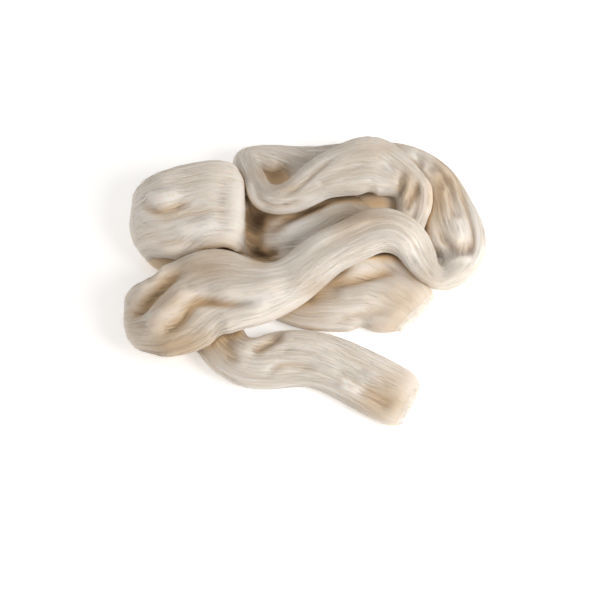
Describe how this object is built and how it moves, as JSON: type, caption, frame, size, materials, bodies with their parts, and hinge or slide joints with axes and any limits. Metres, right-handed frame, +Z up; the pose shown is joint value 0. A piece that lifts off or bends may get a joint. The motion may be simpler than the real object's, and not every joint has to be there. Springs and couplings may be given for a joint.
{
  "type": "combed wool bundle",
  "caption": "Loose bundle of combed cream wool fibre: one soft, flattened strand folded back and forth on itself, with both broken ends free.",
  "frame": {"origin": "on the table, under the middle of the bundle's outline seen from above", "axes": "+X to the picture's right, along the longest extent; +Y away from the camera; +Z up from the table"},
  "size_m": [0.254, 0.2288, 0.042],
  "materials": {
    "cream_wool": "soft, matt, fine combed fibres that run along the strand"
  },
  "bodies": {
    "root": {"wool_strand": "cream_wool"}
  },
  "joints": []
}
